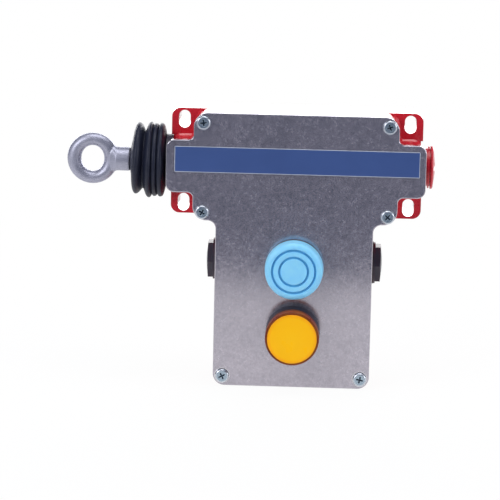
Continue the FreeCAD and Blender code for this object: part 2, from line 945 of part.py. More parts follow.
def make_contact_block(side):
    x0 = block_x(side, 0)
    x1 = block_x(side, block_width)
    corners = [
        (x0, block_low_z, block_corner_r),
        (x1, block_low_z, block_corner_r),
        (x1, block_high_z, block_corner_r),
        (x0, block_high_z, block_corner_r),
    ]
    body = front_plate(corners, plate_front_y, block_front_y)
    channel = box(
        x0 - side * tool_past,
        block_x(side, block_width - block_wall),
        slider_rear_y() + free_gap,
        slider_front_y() - free_gap,
        drive_z - slider_half_height - free_gap,
        drive_z + slider_half_height + free_gap,
    )
    tools = [channel]
    hole_r = terminal_screw_r + fit_gap
    for x, z in terminal_places(side):
        recess = rod_along_y(terminal_head_r + free_gap, x, z, block_front_y, block_front_y + terminal_head)
        tools.append(recess)
        tools.append(rod_along_y(hole_r, x, z, block_front_y, block_front_y + terminal_depth))
    for x, z in block_screw_places(side):
        tools.append(rod_along_y(hole_r, x, z, block_front_y, plate_front_y))
    return cut_all(body, tools)


def small_screw(x, z, seat_y, length):
    shank = rod_along_y(terminal_screw_r, x, z, seat_y, seat_y + length)
    head = rod_along_y(terminal_head_r, x, z, seat_y, seat_y - terminal_head)
    return fused([shank, head])


def make_terminal_screws():
    seat = block_front_y + terminal_head
    length = terminal_depth - terminal_head - free_gap
    return Part.Compound(
        [small_screw(x, z, seat, length) for side in mirror_sides for x, z in terminal_places(side)]
    )


def make_block_screws():
    return Part.Compound(
        [
            small_screw(x, z, block_front_y, block_depth)
            for side in mirror_sides
            for x, z in block_screw_places(side)
        ]
    )


def make_earth_screw():
    top = floor_y - earth_boss
    seat = top - earth_washer
    washer = tube_along_y(earth_washer_r, screw_r, -earth_x, -earth_z, top, seat)
    screw = pan_head_screw(-earth_x, -earth_z, seat, small_head_r, small_head, screw_head_round, earth_boss)
    return fused([washer, screw])


def make_reset_collar():
    corners = [
        (stem_r + fit_gap, -operator_depth, 0),
        (operator_r, -operator_depth, 0),
        (operator_r, 0, 0),
        (reset_flange_r, 0, 0),
        (reset_flange_r, reset_flange, small_round),
        (spring_bore_r, reset_flange, 0),
        (spring_bore_r, -spring_bore_depth, 0),
        (stem_r + fit_gap, -spring_bore_depth, 0),
    ]
    return turned_on_cover(corners, operator_x, -reset_z)


def make_operator_nut(z):
    under = rim_y + operator_nut
    nut = rod_along_y(operator_nut_r, operator_x, -z, rim_y, under)
    return nut.cut(rod_along_y(operator_r + fit_gap, operator_x, -z, rim_y, under))


def make_reset_plunger():
    foot = -operator_depth - stem_tail
    corners = [
        (0, foot, 0),
        (stem_r, foot, stem_foot_round),
        (stem_r, button_rise, 0),
        (button_head_r, button_rise, 0),
        (button_head_r, button_rise + button_head, small_round),
        (0, button_rise + button_head, 0),
    ]
    return turned_on_cover(corners, operator_x, -reset_z)


def make_reset_clip():
    y0 = front_y + operator_depth + clip_gap
    return tube_along_y(clip_r, stem_r + clip_fit, operator_x, -reset_z, y0, y0 + clip_thickness)


def make_reset_spring():
    low = front_y + spring_bore_depth - reset_spring_wire_r - fit_gap
    high = front_y - button_rise + reset_spring_wire_r + fit_gap
    spring = coil(reset_spring_mean_r, reset_spring_wire_r, reset_spring_turns, low - high)
    spring.rotate(vec(0, 0, 0), vec(1, 0, 0), -90)
    spring.translate(vec(operator_x, high, -reset_z))
    return spring


def boot_groove(radius, top):
    """Corners of a ring groove in the boot's face, from the outside inwards."""
    floor = top - boot_groove_depth
    return [
        (radius + boot_groove_half, top, boot_groove_round),
        (radius + boot_groove_floor_half, floor, boot_groove_round / 2),
        (radius - boot_groove_floor_half, floor, boot_groove_round / 2),
        (radius - boot_groove_half, top, boot_groove_round),
    ]


def make_reset_boot():
    base = reset_flange
    swell = base + boot_swell_height
    under = button_rise + button_head + free_gap
    top = under + boot_face_wall
    corners = [
        (boot_foot_r - boot_wall, base, 0),
        (boot_foot_r, base, 0),
        (boot_r, swell, boot_swell_round),
        (boot_face_r, top, min(boot_face_round, boot_rim_share * boot_rim_width)),
    ]
    corners += boot_groove(boot_groove_r, top)
    corners += boot_groove(boot_inner_groove_r, top)
    corners += [
        (0, top, 0),
        (0, under, 0),
        (boot_face_r - boot_wall, under, boot_inner_round),
        (boot_r - boot_wall, swell, 0),
    ]
    return turned_on_cover(corners, operator_x, -reset_z)


def make_lens_bezel():
    corners = [
        (bezel_bore_r, -operator_depth, 0),
        (operator_r, -operator_depth, 0),
        (operator_r, 0, 0),
        (bezel_r, 0, 0),
        (bezel_r, bezel_height, small_round),
        (bezel_bore_r, bezel_height, 0),
    ]
    return turned_on_cover(corners, operator_x, -lens_z)


def make_lens():
    low = bezel_height
    top = low + lens_height
    corners = [
        (lens_r - lens_wall, low, 0),
        (lens_r, low, 0),
        (lens_r, top - lens_step, lens_rim_round),
        (lens_face_r, top - lens_step, 0),
        (lens_face_r, top, lens_face_round),
        (0, top, 0),
        (0, top - lens_wall, 0),
        (lens_r - lens_wall, top - lens_wall, 0),
    ]
    return turned_on_cover(corners, operator_x, -lens_z)


def make_lamp_holder():
    neck = -holder_top
    shoulder = -operator_depth
    corners = [
        (0, shoulder - holder_length, 0),
        (holder_r, shoulder - holder_length, 0),
        (holder_r, shoulder, 0),
        (bezel_bore_r - fit_gap, shoulder, 0),
        (bezel_bore_r - fit_gap, neck, 0),
        (0, neck, 0),
    ]
    return turned_on_cover(corners, operator_x, -lens_z)


def make_lamp():
    low = -holder_top
    corners = [
        (0, low, 0),
        (lamp_r, low, 0),
        (lamp_r, low + lamp_height, lamp_dome_r),
        (0, low + lamp_height, 0),
    ]
    return turned_on_cover(corners, operator_x, -lens_z)


parts = {
    "housing": make_housing(),
    "cover_plate": make_cover_plate(),
    "cover_gasket": make_cover_gasket(),
    "cover_screws": make_cover_screws(),
    "label_strip": make_label_strip(),
    "eyebolt": make_eyebolt(),
    "eyebolt_nut": make_eyebolt_nut(),
    "pull_rod": make_pull_rod(),
    "cam_spool": make_cam_spool(),
    "spring_seat": make_spring_seat(),
    "rod_circlip": make_rod_circlip(),
    "rod_spring": make_rod_spring(),
    "rod_bush_left": make_rod_bush_left(),
    "rod_bush_right": make_rod_bush_right(),
    "bellows": make_bellows(),
    "bellows_collar": make_bellows_collar(),
    "end_cap": make_end_cap(),
    "cable_plug_left": make_cable_plug(-1),
    "cable_plug_right": make_cable_plug(1),
    "plug_washers": make_plug_washers(),
    "mechanism_plate": make_mechanism_plate(),
    "plate_screws": make_plate_screws(),
    "lever_pin": make_lever_pin(),
    "trip_lever": make_trip_lever(),
    "lever_roller": make_lever_roller(),
    "contact_slider": make_contact_slider(),
    "contact_block_left": make_contact_block(-1),
    "contact_block_right": make_contact_block(1),
    "terminal_screws": make_terminal_screws(),
    "block_screws": make_block_screws(),
    "earth_screw": make_earth_screw(),
    "reset_collar": make_reset_collar(),
    "reset_nut": make_operator_nut(reset_z),
    "reset_plunger": make_reset_plunger(),
    "reset_clip": make_reset_clip(),
    "reset_spring": make_reset_spring(),
    "reset_boot": make_reset_boot(),
    "lens_bezel": make_lens_bezel(),
    "lens_nut": make_operator_nut(lens_z),
    "lens": make_lens(),
    "lamp_holder": make_lamp_holder(),
    "lamp": make_lamp(),
}

os.makedirs("parts", exist_ok=True)
for name, shape in parts.items():
    shape.exportStep(f"parts/{name}.step")
    solids = len(shape.Solids)
    print(f"{name}: solids {solids}, valid {shape.isValid()}, volume {shape.Volume:.1f}")
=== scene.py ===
import bmesh
import bpy
import math
from mathutils import Matrix, Vector


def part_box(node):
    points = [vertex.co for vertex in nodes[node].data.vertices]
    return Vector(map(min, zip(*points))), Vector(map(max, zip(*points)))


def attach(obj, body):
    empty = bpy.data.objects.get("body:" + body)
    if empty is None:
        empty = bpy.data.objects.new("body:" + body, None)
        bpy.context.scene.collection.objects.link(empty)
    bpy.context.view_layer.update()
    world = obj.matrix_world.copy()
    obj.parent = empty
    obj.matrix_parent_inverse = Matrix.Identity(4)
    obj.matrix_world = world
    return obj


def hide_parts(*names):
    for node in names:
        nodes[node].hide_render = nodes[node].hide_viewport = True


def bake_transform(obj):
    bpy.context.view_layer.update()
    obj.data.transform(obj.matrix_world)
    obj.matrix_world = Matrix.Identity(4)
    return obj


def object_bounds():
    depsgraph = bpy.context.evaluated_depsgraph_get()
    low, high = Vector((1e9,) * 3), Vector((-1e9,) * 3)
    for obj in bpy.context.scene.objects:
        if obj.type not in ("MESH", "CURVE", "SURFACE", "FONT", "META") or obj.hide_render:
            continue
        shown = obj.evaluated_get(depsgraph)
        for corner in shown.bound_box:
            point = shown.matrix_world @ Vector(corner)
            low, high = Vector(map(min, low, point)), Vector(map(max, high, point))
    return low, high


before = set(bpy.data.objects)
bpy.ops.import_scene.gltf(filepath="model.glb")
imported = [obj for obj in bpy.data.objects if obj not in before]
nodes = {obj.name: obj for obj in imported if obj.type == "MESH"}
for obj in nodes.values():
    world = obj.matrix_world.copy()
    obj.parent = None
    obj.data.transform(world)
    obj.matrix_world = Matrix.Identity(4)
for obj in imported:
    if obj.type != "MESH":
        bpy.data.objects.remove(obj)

# Looks of the rope pull switch. Lengths are in metres, and MM turns a millimetre value into metres.
MM = 0.001
cad_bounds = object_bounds()
cover_low, cover_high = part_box("cover_plate")
FRONT = cover_low.y
ROD_Y = (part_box("pull_rod")[0].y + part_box("pull_rod")[1].y) / 2

# Camera
AZIMUTH = math.radians(2.04)
ELEVATION = math.radians(10.9)
ROLL = math.radians(1.243)
FOCAL_PX = 2714.0
FRAME_PX = 500.0
SENSOR_MM = 36.0
DISTANCE = 1.474
SIGHT_END = 50.0
LOOK_AT = Vector((-0.02376, FRONT, -0.04504))

# Stage. The floor ends close in front of the switch, and the cover's upper half mirrors what lies beyond.
FLOOR_DROP = 0.0004
FLOOR_REACH = 3.0
FLOOR_FRONT = -0.335
FLOOR_COLOUR = (0.86, 0.86, 0.87)
FLOOR_ROUGHNESS = 0.9
FLOOR_GLOW = 1.0
FLOOR_NEAR = 0.05
FLOOR_FAR = 0.45
FLOOR_NEAR_SHARE = 0.95
WORLD_COLOUR = (0.135, 0.151, 0.213)
BACKGROUND_COLOUR = (1.0, 1.0, 1.0)

# Lamps as name, place, what they aim at, width and height, and power
LAMPS = [
    ("lamp_top", (0.05, -0.15, 0.95), (0.0, -0.02, 0.0), (0.9, 0.6), 6.0),
    ("lamp_left", (-0.9, -0.9, 0.5), (-0.02, -0.03, -0.03), (0.6, 0.6), 8.2),
    ("lamp_right", (1.12, -0.45, 0.35), (0.02, -0.03, -0.04), (0.6, 0.6), 5.5),
    ("lamp_behind", (0.0, 1.2, 0.24), (0.0, 0.0, 0.24), (2.0, 0.72), 22.0),
]


def make_camera():
    forward = math.cos(ELEVATION)
    back = Vector((math.sin(AZIMUTH) * forward, -math.cos(AZIMUTH) * forward, math.sin(ELEVATION)))
    level = Vector((math.cos(AZIMUTH), math.sin(AZIMUTH), 0))
    rise = back.cross(level)
    right = level * math.cos(ROLL) + rise * math.sin(ROLL)
    up = rise * math.cos(ROLL) - level * math.sin(ROLL)
    data = bpy.data.cameras.new("camera")
    data.sensor_width = SENSOR_MM
    data.lens = SENSOR_MM * FOCAL_PX / FRAME_PX
    data.clip_end = SIGHT_END
    camera = bpy.data.objects.new("camera", data)
    turn = Matrix((right, up, back)).transposed().to_4x4()
    camera.matrix_world = Matrix.Translation(LOOK_AT + back * DISTANCE) @ turn
    bpy.context.scene.collection.objects.link(camera)
    bpy.context.scene.camera = camera


# Material building


NOISE_RANGE = (0.3, 0.7)
EDGE_SAMPLES = 4
EDGE_DOTS = (0.97, 0.75)


class Tree:
    """A material's node tree with short calls for what the materials here share."""

    def __init__(self, name):
        self.material = bpy.data.materials.new(name)
        self.material.use_nodes = True
        self.nodes = self.material.node_tree.nodes
        self.links = self.material.node_tree.links
        self.shader = self.nodes["Principled BSDF"]
        self.coords = self.nodes.new("ShaderNodeTexCoord").outputs["Object"]

    def put(self, value, socket):
        if hasattr(value, "is_output"):
            self.links.new(value, socket)
        elif hasattr(value, "__len__") and len(value) == 3 and socket.type == "RGBA":
            socket.default_value = (*value, 1.0)
        else:
            socket.default_value = value

    def set(self, **sockets):
        for name, value in sockets.items():
            self.put(value, self.shader.inputs[name.replace("_", " ")])

    def noise(self, size_mm, detail, roughness=0.55):
        node = self.nodes.new("ShaderNodeTexNoise")
        node.inputs["Scale"].default_value = 1.0 / (size_mm * MM)
        node.inputs["Detail"].default_value = detail
        node.inputs["Roughness"].default_value = roughness
        self.links.new(self.coords, node.inputs["Vector"])
        return node.outputs["Fac"]

    def ramp(self, value, stops):
        node = self.nodes.new("ShaderNodeValToRGB")
        while len(node.color_ramp.elements) < len(stops):
            node.color_ramp.elements.new(0.5)
        for element, (place, colour) in zip(node.color_ramp.elements, stops):
            element.position = place
            element.color = (*colour, 1.0)
        self.links.new(value, node.inputs["Fac"])
        return node.outputs["Color"]

    def span(self, value, low, high, to_low=0.0, to_high=1.0):
        node = self.nodes.new("ShaderNodeMapRange")
        node.inputs["From Min"].default_value = low
        node.inputs["From Max"].default_value = high
        node.inputs["To Min"].default_value = to_low
        node.inputs["To Max"].default_value = to_high
        self.put(value, node.inputs["Value"])
        return node.outputs["Result"]

    def vary(self, noise, to_low, to_high):
        """Spreads the usual range of a noise over two values."""
        return self.span(noise, *NOISE_RANGE, to_low, to_high)

    def mix(self, factor, a, b):
        node = self.nodes.new("ShaderNodeMix")
        node.data_type = "RGBA"
        self.put(factor, node.inputs[0])
        self.put(a, node.inputs[6])
        self.put(b, node.inputs[7])
        return node.outputs[2]

    def maths(self, operation, a, b=0.0):
        node = self.nodes.new("ShaderNodeMath")
        node.operation = operation
        self.put(a, node.inputs[0])
        self.put(b, node.inputs[1])
        return node.outputs[0]

    def axis(self, name):
        node = self.nodes.new("ShaderNodeSeparateXYZ")
        self.links.new(self.coords, node.inputs[0])
        return node.outputs[name]

    def length(self, x, z):
        squares = self.maths("ADD", self.maths("MULTIPLY", x, x), self.maths("MULTIPLY", z, z))
        return self.maths("SQRT", squares)

    def radius(self, centre_x, centre_z):
        """Distance in X and Z from a line along Y."""
        x = self.maths("SUBTRACT", self.axis("X"), centre_x)
        z = self.maths("SUBTRACT", self.axis("Z"), centre_z)
        return self.length(x, z)

    def edge(self, radius_mm):
        """About 1 on convex and concave edges and 0 on flats."""
        bevel = self.nodes.new("ShaderNodeBevel")
        bevel.samples = EDGE_SAMPLES
        bevel.inputs["Radius"].default_value = radius_mm * MM
        geometry = self.nodes.new("ShaderNodeNewGeometry")
        dot = self.nodes.new("ShaderNodeVectorMath")
        dot.operation = "DOT_PRODUCT"
        self.links.new(bevel.outputs["Normal"], dot.inputs[0])
        self.links.new(geometry.outputs["Normal"], dot.inputs[1])
        return self.span(dot.outputs["Value"], *EDGE_DOTS)

    def bump(self, height, strength, distance_mm):
        node = self.nodes.new("ShaderNodeBump")
        node.inputs["Strength"].default_value = strength
        node.inputs["Distance"].default_value = distance_mm * MM
        self.links.new(height, node.inputs["Height"])
        self.links.new(node.outputs["Normal"], self.shader.inputs["Normal"])


def cover_metal():
    """Blasted zinc casting, faintly stained, with a painted highlight along its edges."""
    t = Tree("cover_metal")
    blotch = t.noise(24.0, 3.0)
    stain = t.noise(4.5, 4.0, 0.6)
    mottle = t.noise(1.7, 2.0, 0.5)
    grain = t.noise(0.8, 1.0)
    mixed = t.maths("ADD", t.maths("MULTIPLY", stain, 0.25), t.maths("MULTIPLY", mottle, 0.4))
    mixed = t.maths("ADD", mixed, t.maths("MULTIPLY", grain, 0.35))
    mixed_range = (0.35, 0.65)
    base = t.ramp(blotch, [(0.3, (0.475, 0.447, 0.505)), (0.7, (0.54, 0.502, 0.562))])
    base = t.mix(t.span(mixed, *mixed_range, 0.46, 0.0), base, (0.20, 0.20, 0.23))
    # Painted highlight: convex and concave edges are mixed to white.
    base = t.mix(t.edge(0.7), base, (1.0, 1.0, 1.0))
    t.set(Base_Color=base, Metallic=t.span(mixed, *mixed_range, 0.852, 0.718))
    t.set(Roughness=t.vary(mottle, 0.14, 0.19))
    return t.material


def red_paint():
    """Glossy powder coat with a fine orange peel, and a painted highlight of paler red on its edges."""
    t = Tree("red_paint")
    patch = t.noise(14.0, 3.0)
    peel = t.noise(0.9, 2.0)
    base = t.ramp(patch, [(0.3, (0.56, 0.008, 0.020)), (0.7, (0.65, 0.012, 0.026))])
    # Painted highlight: convex and concave edges are mixed a quarter of the way to a paler red.
    base = t.mix(t.maths("MULTIPLY", t.edge(0.35), 0.25), base, (0.85, 0.20, 0.20))
    t.set(Base_Color=base, Roughness=t.vary(peel, 0.24, 0.34))
    t.shader.inputs["Coat Weight"].default_value = 0.6
    t.shader.inputs["Coat Roughness"].default_value = 0.12
    t.bump(peel, 0.12, 0.05)
    return t.material


def moulded(name, colour, roughness=0.45, spread=0.08, bump=0.1):
    """Moulded plastic with fine grain and slightly uneven gloss."""
    t = Tree(name)
    fine = t.noise(0.5, 3.0)
    broad = t.noise(9.0, 2.0)
    lighter = tuple(min(1.0, c * 1.25 + 0.004) for c in colour)
    t.set(Base_Color=t.mix(broad, colour, lighter))
    t.set(Roughness=t.vary(fine, roughness - spread, roughness + spread))
    t.bump(fine, bump, 0.03)
    return t.material


def bellows_rubber():
    """Blue-black rubber with a trace of dust."""
    t = Tree("bellows_rubber")
    dust = t.noise(3.0, 5.0, 0.6)
    fine = t.noise(0.4, 3.0)
    base = t.ramp(dust, [(0.35, (0.009, 0.012, 0.027)), (0.75, (0.014, 0.017, 0.037))])
    t.set(Base_Color=base, Roughness=t.vary(fine, 0.44, 0.54), Specular_IOR_Level=0.32)
    t.bump(fine, 0.08, 0.03)
    return t.material


def galvanised():
    """Dull hot-dip zinc over a smooth forging."""
    t = Tree("galvanised")
    cloud = t.noise(5.0, 3.0, 0.5)
    pits = t.noise(0.5, 4.0, 0.7)
    base = t.ramp(cloud, [(0.3, (0.385, 0.39, 0.475)), (0.7, (0.435, 0.44, 0.54))])
    base = t.mix(t.span(pits, 0.62, 0.78, 0.0, 0.1), base, (0.60, 0.62, 0.74))
    t.set(Base_Color=base, Metallic=0.7, Roughness=t.vary(cloud, 0.42, 0.50))
    t.bump(pits, 0.015, 0.05)
    return t.material


def screw_zinc():
    """Zinc plate, with a painted highlight that makes the rounded rim lighter than the flat of the head,
    and painted shade in the cross.
    """
    t = Tree("screw_zinc")
    cloud = t.noise(1.2, 3.0)
    side = t.maths("ABSOLUTE", t.axis("X"))
    near = None
    for x, z in SCREW_PLACES:
        across = t.maths("SUBTRACT", side, x * MM)
        up = t.maths("SUBTRACT", t.axis("Z"), z * MM)
        off = t.length(across, up)
        near = off if near is None else t.maths("MINIMUM", near, off)
    flat = t.span(near, 2.75 * MM, 3.05 * MM, 1.0, 0.0)
    depth = t.maths("SUBTRACT", t.axis("Y"), FRONT - SCREW_TOP * MM)
    recess = t.maths("MULTIPLY", flat, t.span(depth, 0.10 * MM, 0.45 * MM))
    # Painted highlight: the rounded rim takes a lighter colour than the flat of the head.
    rim = t.mix(cloud, (0.50, 0.54, 0.60), (0.66, 0.70, 0.76))
    base = t.mix(flat, rim, t.mix(cloud, (0.28, 0.37, 0.45), (0.46, 0.55, 0.63)))
    # Painted shade: the cross recess is darkened to near black.
    base = t.mix(recess, base, (0.05, 0.075, 0.11))
    t.set(Base_Color=base, Metallic=0.85, Roughness=t.vary(cloud, 0.25, 0.36))
    t.bump(cloud, 0.08, 0.03)
    return t.material


def plated(name, colour, roughness=0.28, metallic=1.0):
    """Turned or plated metal with fine streaks."""
    t = Tree(name)
    streak = t.noise(0.35, 4.0, 0.6)
    cloud = t.noise(1.8, 3.0)
    darker = tuple(c * 0.72 for c in colour)
    t.set(Base_Color=t.mix(cloud, darker, colour), Metallic=metallic)
    t.set(Roughness=t.vary(streak, roughness - 0.07, roughness + 0.1))
    t.bump(streak, 0.1, 0.02)
    return t.material


def label_print():
    """Blue strip with a thin pale line along its edge."""
    low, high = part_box("label_strip")
    t = Tree("label_print")
    ink = t.noise(0.6, 3.0)
    broad = t.noise(18.0, 2.0)
    x = t.maths("ABSOLUTE", t.maths("SUBTRACT", t.axis("X"), (low.x + high.x) / 2))
    z = t.maths("ABSOLUTE", t.maths("SUBTRACT", t.axis("Z"), (low.z + high.z) / 2))
    from_end = t.maths("SUBTRACT", (high.x - low.x) / 2, x)
    from_side = t.maths("SUBTRACT", (high.z - low.z) / 2, z)
    inset = t.maths("MINIMUM", from_end, from_side)
    blue = t.mix(broad, (0.036, 0.076, 0.232), (0.045, 0.094, 0.282))
    base = t.mix(t.span(inset, 0.20 * MM, 0.32 * MM), (0.55, 0.60, 0.68), blue)
    t.set(Base_Color=base, Roughness=t.vary(ink, 0.36, 0.46))
    t.bump(ink, 0.06, 0.02)
    return t.material


def boot_silicone():
    """Sky blue, with painted shade in the two grooves of the face."""
    centre = node_centre("reset_boot")
    t = Tree("boot_silicone")
    haze = t.noise(5.0, 3.0)
    fine = t.noise(0.4, 3.0)
    base = t.ramp(haze, [(0.3, (0.24, 0.66, 1.0)), (0.7, (0.29, 0.72, 1.0))])
    radius = t.radius(centre.x, centre.z)
    top = t.span(t.maths("SUBTRACT", FRONT, t.axis("Y")), 5.5 * MM, 6.0 * MM)
    # Painted shade: the floors of the two grooves are darkened to a deeper blue.
    for groove in BOOT_GROOVES:
        off = t.maths("ABSOLUTE", t.maths("SUBTRACT", radius, groove * MM))
        dark = t.maths("MULTIPLY", t.span(off, 0.45 * MM, 0.75 * MM, 0.85, 0.0), top)
        base = t.mix(dark, base, (0.06, 0.36, 0.68))
    t.set(Base_Color=base, Roughness=t.vary(fine, 0.34, 0.46))
    t.shader.inputs["Subsurface Weight"].default_value = 0.2
    t.shader.inputs["Subsurface Radius"].default_value = (0.4, 0.8, 1.0)
    t.shader.inputs["Subsurface Scale"].default_value = 1.2 * MM
    t.bump(fine, 0.08, 0.03)
    return t.material


def amber_lens():
    """Amber moulding with its light painted in: a painted glow on the bright front face, painted dark brown
    shade in the bevel, and painted light and shade in orange and brown down the side.
    """
    low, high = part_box("lens")
    t = Tree("amber_lens")
    radius = t.radius((low.x + high.x) / 2, (low.z + high.z) / 2)
    height = t.maths("SUBTRACT", high.y, t.axis("Y"))
    # Painted shade: the face darkens towards its edge.
    face = t.ramp(
        t.span(radius, 0.0, 13.4 * MM),
        [(0.0, (1.0, 0.56, 0.0)), (0.85, (1.0, 0.53, 0.0)), (1.0, (0.90, 0.38, 0.004))],
    )
    # Painted light and shade down the side: dark at the base and next to the front, orange between.
    side = t.ramp(
        t.span(height, 0.0, high.y - low.y),
        [
            (0.0, (0.09, 0.012, 0.008)),
            (0.25, (0.19, 0.020, 0.010)),
            (0.7, (0.36, 0.050, 0.014)),
            (0.9, (0.09, 0.012, 0.008)),
        ],
    )
    # Painted shade: the bevel next to the front face is dark brown.
    on_front = t.span(t.maths("SUBTRACT", high.y - low.y, height), 0.55 * MM, 0.75 * MM, 1.0, 0.0)
    rim = t.mix(on_front, side, (0.15, 0.014, 0.007))
    on_rim = t.span(radius, 13.35 * MM, 13.5 * MM)
    wave = t.noise(7.0, 2.0)
    base = t.mix(on_rim, face, rim)
    base = t.mix(t.vary(wave, 0.0, 0.10), base, (1.0, 0.56, 0.02))
    # Painted glow: the front face emits a little red-orange light of its own.
    glow = t.mix(on_rim, (0.50, 0.03, 0.0), (0.0, 0.0, 0.0))
    t.set(Base_Color=base, Roughness=t.vary(wave, 0.26, 0.36), Specular_IOR_Level=0.2)
    t.set(Emission_Color=glow, Emission_Strength=0.1)
    t.bump(wave, 0.03, 0.1)
    return t.material


# Mesh building

TURN_STEPS = 96
SKIN_STEPS = 128


def new_piece(name, mesh_maker, material, body=None):
    """Makes a mesh object from a bmesh, gives it its material and sets it on its body."""
    bm = bmesh.new()
    mesh_maker(bm)
    bmesh.ops.recalc_face_normals(bm, faces=bm.faces)
    mesh = bpy.data.meshes.new(name)
    bm.to_mesh(mesh)
    bm.free()
    for face in mesh.polygons:
        face.use_smooth = True
    piece = bpy.data.objects.new(name, mesh)
    bpy.context.scene.collection.objects.link(piece)
    mesh.materials.append(material)
    if body:
        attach(piece, body)
    return piece


def smooth_line(points, per_span):
    """Points along a curve that passes through all the given (u, v) points."""
    line = []
    count = len(points)
    for i in range(count - 1):
        p0 = Vector(points[max(i - 1, 0)])
        p1 = Vector(points[i])
        p2 = Vector(points[i + 1])
        p3 = Vector(points[min(i + 2, count - 1)])
        reach = (p2 - p1).length
        before = (p2 - p0).normalized() * reach
        after = (p3 - p1).normalized() * reach
        for k in range(per_span):
            s = k / per_span
            a = 2 * s**3 - 3 * s**2 + 1
            b = s**3 - 2 * s**2 + s
            c = -2 * s**3 + 3 * s**2
            d = s**3 - s**2
            line.append(p1 * a + before * b + p2 * c + after * d)
    line.append(Vector(points[-1]))
    return line


def turn_loop(bm, section, place, steps):
    """Sweeps a closed (u, v) section around a ring."""
    rings = [[bm.verts.new(place(u, v, 2 * math.pi * k / steps)) for u, v in section] for k in range(steps)]
    for a, b in zip(rings, rings[1:] + rings[:1]):
        for k in range(len(section)):
            n = (k + 1) % len(section)
            bm.faces.new((a[k], b[k], b[n], a[n]))


def turn_profile(bm, profile, place, steps, closed=True):
    """Revolves (along, radius) points; place turns along, radius and an angle into a point."""
    rings = []
    for along, radius in profile:
        if radius == 0.0:
            rings.append([bm.verts.new(place(along, 0.0, 0.0))])
        else:
            angles = [2 * math.pi * k / steps for k in range(steps)]
            rings.append([bm.verts.new(place(along, radius, angle)) for angle in angles])
    last = rings[:1] if closed else []
    for a, b in zip(rings, rings[1:] + last):
        for k in range(steps):
            n = (k + 1) % steps
            if len(a) == 1 and len(b) == 1:
                break
            if len(a) == 1:
                bm.faces.new((a[0], b[k], b[n]))
            elif len(b) == 1:
                bm.faces.new((a[k], b[0], a[n]))
            else:
                bm.faces.new((a[k], b[k], b[n], a[n]))


def on_cover(centre_x, centre_z):
    """Place function for things that stand on the cover: along is the height above it, in millimetres."""
    return lambda along, radius, angle: Vector(
        (
            centre_x + radius * MM * math.cos(angle),
            FRONT - along * MM,
            centre_z + radius * MM * math.sin(angle),
        )
    )


def node_centre(name):
    low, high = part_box(name)
    return (low + high) / 2


# Bellows skin as (X, radius) in millimetres, from the shank to the collar and back inside
BELLOWS_OUTER = [
    (-90.8, 4.5), (-90.85, 6.5), (-90.0, 11.0), (-89.3, 16.0), (-88.6, 18.3), (-87.3, 19.6),
    (-85.8, 19.1), (-84.6, 17.6), (-83.4, 16.0), (-82.6, 17.2), (-81.7, 19.6), (-80.4, 20.8),
    (-79.4, 20.4), (-78.95, 19.4), (-78.75, 18.4), (-78.5, 19.2), (-77.9, 19.9), (-77.3, 20.0),
    (-76.5, 19.8), (-76.0, 19.1), (-75.8, 18.3), (-75.6, 19.0), (-75.0, 19.9), (-74.1, 20.2),
    (-73.0, 19.7), (-72.2, 17.6), (-71.6, 15.0), (-71.1, 13.0),
]
BELLOWS_INNER = [
    (-71.1, 11.2), (-72.9, 15.5), (-74.5, 17.0), (-78.5, 17.2), (-81.5, 16.6), (-83.4, 14.4),
    (-85.5, 15.4), (-88.0, 16.2), (-88.9, 12.0), (-89.4, 7.6), (-89.5, 4.5),
]
# How far each convolution leans, as X per Z, and how far it has crept up, by X
BELLOWS_LEAN = [
    (-91.0, 0.037), (-84.5, 0.037), (-82.0, 0.018), (-77.0, 0.008), (-74.0, 0.005), (-71.1, 0.0),
]
BELLOWS_RISE = [(-91.0, 0.7), (-85.5, 0.7), (-82.8, 0.0), (-71.1, 0.0)]
BELLOWS_HUB_R = 7.0
BELLOWS_FREE_R = 14.0


def table_value(table, x):
    """Value at x of a line through (x, value) points."""
    for (x0, v0), (x1, v1) in zip(table, table[1:]):
        if x <= x1:
            return v0 + (v1 - v0) * max(x - x0, 0.0) / (x1 - x0)
    return table[-1][1]


def make_bellows():
    def place(along, radius, angle):
        free = min(max((radius - BELLOWS_HUB_R) / (BELLOWS_FREE_R - BELLOWS_HUB_R), 0.0), 1.0)
        z = radius * math.sin(angle)
        x = along + z * table_value(BELLOWS_LEAN, along) * free
        rise = table_value(BELLOWS_RISE, along) * free
        return Vector((x * MM, ROD_Y + radius * MM * math.cos(angle), (z + rise) * MM))

    profile = smooth_line(BELLOWS_OUTER, 5) + smooth_line(BELLOWS_INNER, 2)

    def build(bm):
        turn_profile(bm, profile, place, SKIN_STEPS)

    piece = new_piece("bellows_skin", build, bellows_rubber())
    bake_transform(piece)
    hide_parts("bellows")


# Boot skin as (height above the cover, radius) in millimetres, over the top and back inside
BOOT_OUTER = [
    (2.05, 14.6), (2.3, 15.05), (3.0, 15.55), (3.9, 15.88), (5.0, 15.9), (7.5, 15.78),
    (10.1, 15.62), (11.3, 15.3), (12.2, 14.5), (12.6, 13.6), (12.7, 12.8), (12.6, 12.42),
    (12.1, 12.15), (11.7, 11.9), (11.6, 11.65), (11.7, 11.4), (12.1, 11.15), (12.6, 10.88),
    (12.7, 10.5), (12.7, 8.9), (12.6, 8.52), (12.1, 8.25), (11.7, 8.0), (11.6, 7.75),
    (11.7, 7.5), (12.1, 7.25), (12.6, 6.98), (12.7, 6.6), (12.7, 3.0), (12.7, 0.0),
]
# Radii of the two grooves of the face, which the material darkens as painted shade
BOOT_GROOVES = (11.65, 7.75)
BOOT_INNER = [(10.5, 0.0), (10.5, 12.9), (10.2, 13.9), (9.2, 14.4), (3.9, 14.6), (2.05, 13.7)]


